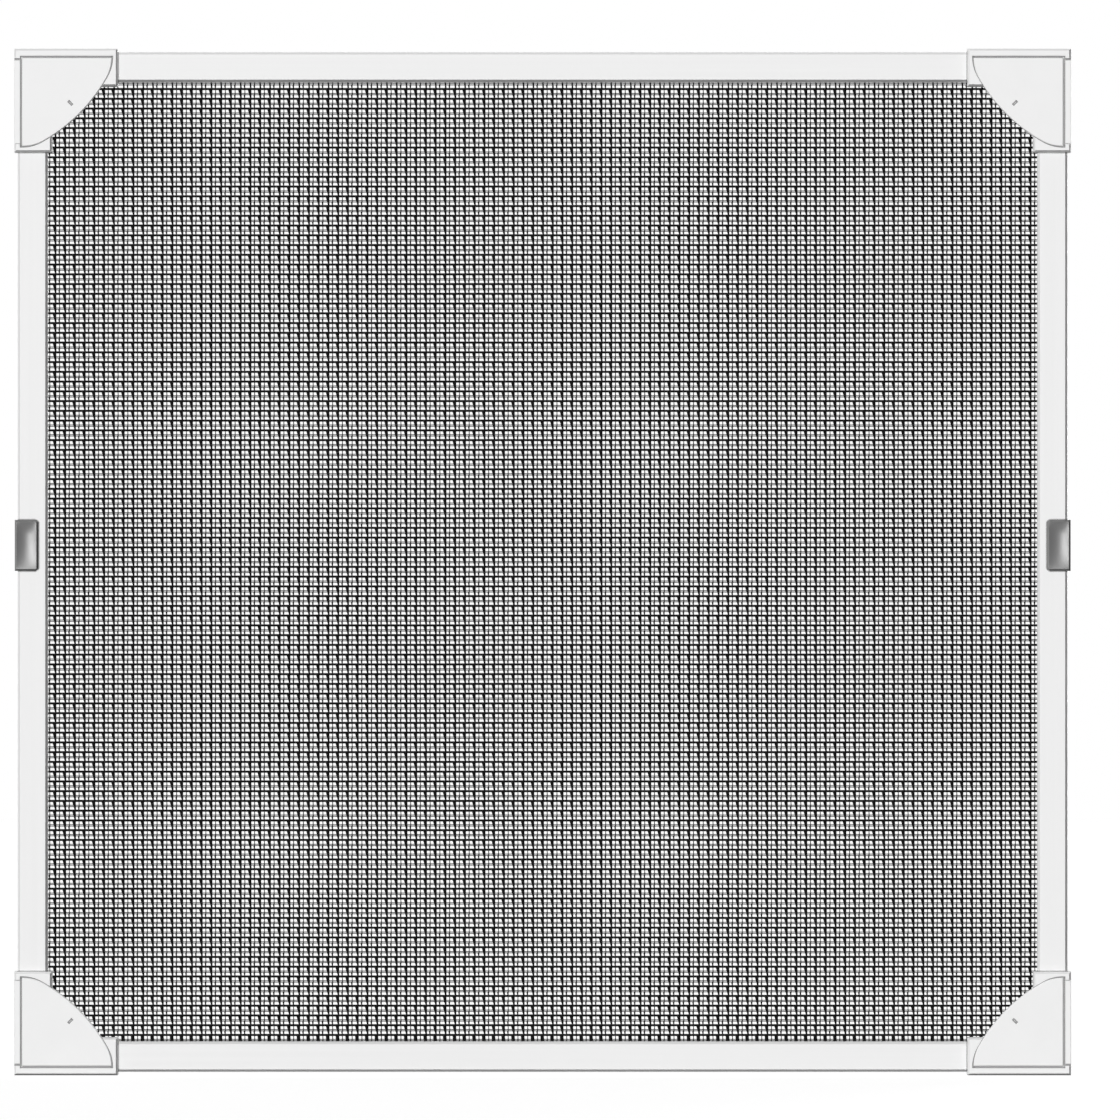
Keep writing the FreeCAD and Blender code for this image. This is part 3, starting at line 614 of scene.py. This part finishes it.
# %% Build the mesh
def weave(name, layers):
    """One piece of the mesh, from layers of strands that each have a yarn."""
    points, faces, slots = [], [], []
    for (layer_points, sides, caps), slot in layers:
        start = sum(len(p) for p in points)
        points.append(layer_points)
        faces += (sides + start).tolist() + (caps + start).tolist()
        slots += [slot] * (len(sides) + len(caps))
    data = bpy.data.meshes.new(name)
    data.from_pydata(np.concatenate(points).tolist(), [], faces)
    data.polygons.foreach_set("material_index", slots)
    data.polygons.foreach_set("use_smooth", [True] * len(faces))
    for material in yarns:
        data.materials.append(material)
    piece = new_object(name, data)
    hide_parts("insect_mesh")
    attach(piece, "root")
    print(name, "triangles:", sum(len(p.vertices) - 2 for p in data.polygons))
    return piece


uprights = upright_strands(upright_x, crossings, depths, leans, widths, UPRIGHT_DEPTH, UPRIGHT_CORNERS)
levels = level_strands(level_z, MIDDLE_Y, LEVEL_WIDTH, LEVEL_DEPTH)
fine_levels = level_strands(fine_z, MIDDLE_Y + FINE_BACK, FINE_WIDTH, FINE_DEPTH)
fine_uprights = upright_strands(
    cell_x, fine_rings, fine_depths, fine_leans, fine_widths, FINE_DEPTH, FINE_CORNERS
)
woven_mesh = weave("woven_mesh", [(uprights, 0), (levels, 1), (fine_levels, 2)])
fine_threads = weave("fine_threads", [(fine_uprights, 2)])

# %% [markdown]
# The mesh is one flat cut of cloth, with open cells between its yarns.

# %% [markdown]
# ## Light
# A broad light in front, at the upper left, leaves the edges that face right or down dark. It throws no
# shadow, so that steps are drawn by thin lines alone. A weaker light from behind, at the right, keeps the
# back readable and does throw shadows. A soft box lights the pulls alone, through a collection of what it
# may reach, and gives their dish a bright side. The world is white where the camera, a reflection or
# glass looks at it, and a dim fill for everything else.

# %% Light
def soft_sun(name, towards, level, spread, shadow):
    """A soft distant light: level 1 would light a surface that faces it to its own colour."""
    lamp = bpy.data.lights.new(name, "SUN")
    lamp.energy = math.pi * level
    lamp.angle = math.radians(spread)
    lamp.use_shadow = shadow
    sun = new_object(name, lamp)
    sun.rotation_euler = (-Vector(towards)).to_track_quat("-Z", "Y").to_euler()
    return sun


soft_sun("key", (-0.4, -0.845, 0.355), 0.965, 40, False)
soft_sun("back_key", (0.5, 0.85, 0.15), 0.7, 30, True)
soft_box = soft_sun("soft_box", (-0.54, -0.83, 0.1), 1.0, 50, False)
lit_by_box = bpy.data.collections.new("lit_by_box")
for pull in pulls:
    lit_by_box.objects.link(pull)
soft_box.light_linking.receiver_collection = lit_by_box


# %% World
FILL = 0.12


def white_to_the_eye(tree):
    """1 for what the camera, a reflection or glass sees, and 0 for light that is scattered."""
    path = add(tree, "ShaderNodeLightPath").outputs
    mirrored = maths(tree, "MAXIMUM", path["Is Glossy Ray"], path["Is Transmission Ray"])
    return maths(tree, "MAXIMUM", path["Is Camera Ray"], mirrored)


world = bpy.data.worlds.new("studio")
world.use_nodes = True
bpy.context.scene.world = world
tree = world.node_tree
background = tree.nodes["Background"]
background.inputs["Color"].default_value = grey(1.0)
tree.links.new(between(tree, white_to_the_eye(tree), FILL, 1.0), background.inputs["Strength"])
print("world: white to the eye, fill", FILL)

# %% [markdown]
# ## Floor
# The frame stands on a plain pale floor. Scattered light meets it as a mid grey, so that little light
# comes back up under the rails. The camera sees it as white, with the frame's shadow on it.

# %% Floor
FLOOR_HALF, FLOOR_BELOW, FLOOR_GLOW = 6.0, 0.0002, 0.842
floor_level = cad_box[0][2] - FLOOR_BELOW
corners = [(x * FLOOR_HALF, y * FLOOR_HALF, floor_level) for x, y in ((-1, -1), (1, -1), (1, 1), (-1, 1))]
floor_data = bpy.data.meshes.new("floor")
floor_data.from_pydata(corners, [], [(0, 1, 2, 3)])
floor = new_object("floor", floor_data)

floor_material, tree, shader = new_material("floor")
seen = white_to_the_eye(tree)
tree.links.new(between(tree, seen, 0.0, FLOOR_GLOW), shader.inputs["Emission Strength"])
shader.inputs["Base Color"].default_value = grey(0.3)
shader.inputs["Emission Color"].default_value = grey(1.0)
shader.inputs["Roughness"].default_value = 1.0
shader.inputs["Specular IOR Level"].default_value = 0.0
floor_data.materials.append(floor_material)
print("floor at z", round(floor_level, 4))

# %% [markdown]
# ## Camera
# A long lens straight in front. In the picture the frame is 1056 pixels wide in a frame of 1120, and its
# centre lies 17 pixels left of the picture's centre and 2 below it.

# %% Camera
PICTURE = 1120
FRAME_PIXELS = 1055.8
LEFT_PIXELS, DOWN_PIXELS = 17.3, 2.0
LENS, SENSOR = 300.0, 36.0

metres_per_pixel = (cad_box[1][0] - cad_box[0][0]) / FRAME_PIXELS
distance = metres_per_pixel * PICTURE * LENS / SENSOR
lens = bpy.data.cameras.new("camera")
lens.lens, lens.sensor_width = LENS, SENSOR
lens.clip_end = 100.0
camera = new_object("camera", lens)
camera.location = (LEFT_PIXELS * metres_per_pixel, -distance, DOWN_PIXELS * metres_per_pixel)
camera.rotation_euler = (math.radians(90), 0, 0)
bpy.context.scene.camera = camera
bpy.context.scene.view_settings.view_transform = "Standard"
print("camera", round(distance, 3), "m in front,", round(metres_per_pixel * 1000, 4), "mm per pixel")
